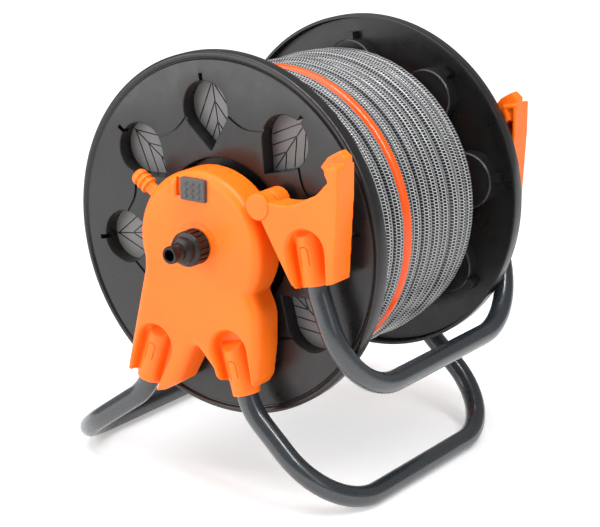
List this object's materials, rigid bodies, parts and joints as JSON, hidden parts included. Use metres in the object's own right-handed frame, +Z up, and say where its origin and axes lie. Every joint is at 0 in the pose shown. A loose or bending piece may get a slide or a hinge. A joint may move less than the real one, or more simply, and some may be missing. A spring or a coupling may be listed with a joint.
{
  "type": "garden hose reel",
  "caption": "Wheel-less garden hose reel: wound hose on a crank-turned spool between dished leaf-pattern flanges, on a bent-tube stand with a folding carrying handle.",
  "frame": {"origin": "on the floor under the middle of the bounding box", "axes": "+Z up, Y parallel to the drum's axis with the water inlet at -Y and the crank at +Y, +X towards the carrying handle"},
  "size_m": [0.3649, 0.458, 0.4159],
  "materials": {
    "orange_plastic": "satin orange moulded plastic",
    "black_plastic": "semi-gloss black moulded plastic",
    "flange_plastic": "satin dark grey moulded plastic, smooth with fine vein lines",
    "coated_tube": "glossy anthracite powder coat on steel tube",
    "grey_plastic": "mid-grey moulded plastic",
    "braided_hose": "clear glossy PVC over a white braid, with an orange stripe",
    "zinc_steel": "zinc-plated steel",
    "seal_rubber": "black seal rubber"
  },
  "bodies": {
    "stand": {"front_bracket": "orange_plastic", "rear_bracket": "orange_plastic", "left_foot_tube": "coated_tube", "right_foot_tube": "coated_tube", "parking_spigot": "orange_plastic", "water_axle": "black_plastic", "inlet_adapter": "black_plastic", "inlet_washer": "seal_rubber", "axle_o_ring_inner": "seal_rubber", "axle_o_ring_outer": "seal_rubber", "rear_bracket_bush": "grey_plastic"},
    "lock_slider": {"drum_lock_slider": "grey_plastic"},
    "lock_pin": {"drum_lock_pin": "grey_plastic"},
    "drum": {"front_flange": "flange_plastic", "rear_flange": "flange_plastic", "drum_core": "black_plastic", "front_drum_bush": "grey_plastic", "drum_elbow": "black_plastic", "hose_tail_connector": "grey_plastic", "hose_winding": "braided_hose", "hose_end_connector": "grey_plastic", "front_flange_screw_1": "zinc_steel", "front_flange_screw_2": "zinc_steel", "front_flange_screw_3": "zinc_steel", "front_flange_screw_4": "zinc_steel", "rear_flange_screw_1": "zinc_steel", "rear_flange_screw_2": "zinc_steel", "rear_flange_screw_3": "zinc_steel", "rear_flange_screw_4": "zinc_steel", "crank_shaft": "black_plastic", "crank_arm": "black_plastic", "crank_screw": "zinc_steel", "crank_grip_pin": "zinc_steel"},
    "grip": {"crank_grip": "black_plastic"},
    "handle": {"front_handle_arm": "orange_plastic", "rear_handle_arm": "orange_plastic", "handle_tube": "coated_tube", "front_pivot_pin": "orange_plastic", "rear_pivot_pin": "orange_plastic"}
  },
  "joints": [
    {"name": "drum_turn", "type": "hinge", "parent": "stand", "child": "drum", "pos_m": [0.015, -0.022, 0.246], "axis": [0, 1, 0], "continuous": true},
    {"name": "grip_turn", "type": "hinge", "parent": "drum", "child": "grip", "pos_m": [-0.04037, 0.162, 0.17253], "axis": [0, 1, 0], "continuous": true},
    {"name": "handle_fold", "type": "hinge", "parent": "stand", "child": "handle", "pos_m": [0.0825, -0.022, 0.292], "axis": [0, -1, 0], "range_deg": [0, 125]},
    {"name": "lock_slide", "type": "slide", "parent": "stand", "child": "lock_slider", "axis": [-1, 0, 0], "range_m": [0, 0.006]},
    {"name": "lock_pin_slide", "type": "slide", "parent": "stand", "child": "lock_pin", "axis": [0, 1, 0], "range_m": [0, 0.0055]}
  ],
  "couplings": [
    {"joint": "lock_pin_slide", "follows": "lock_slide", "ratio": 0.91}
  ]
}
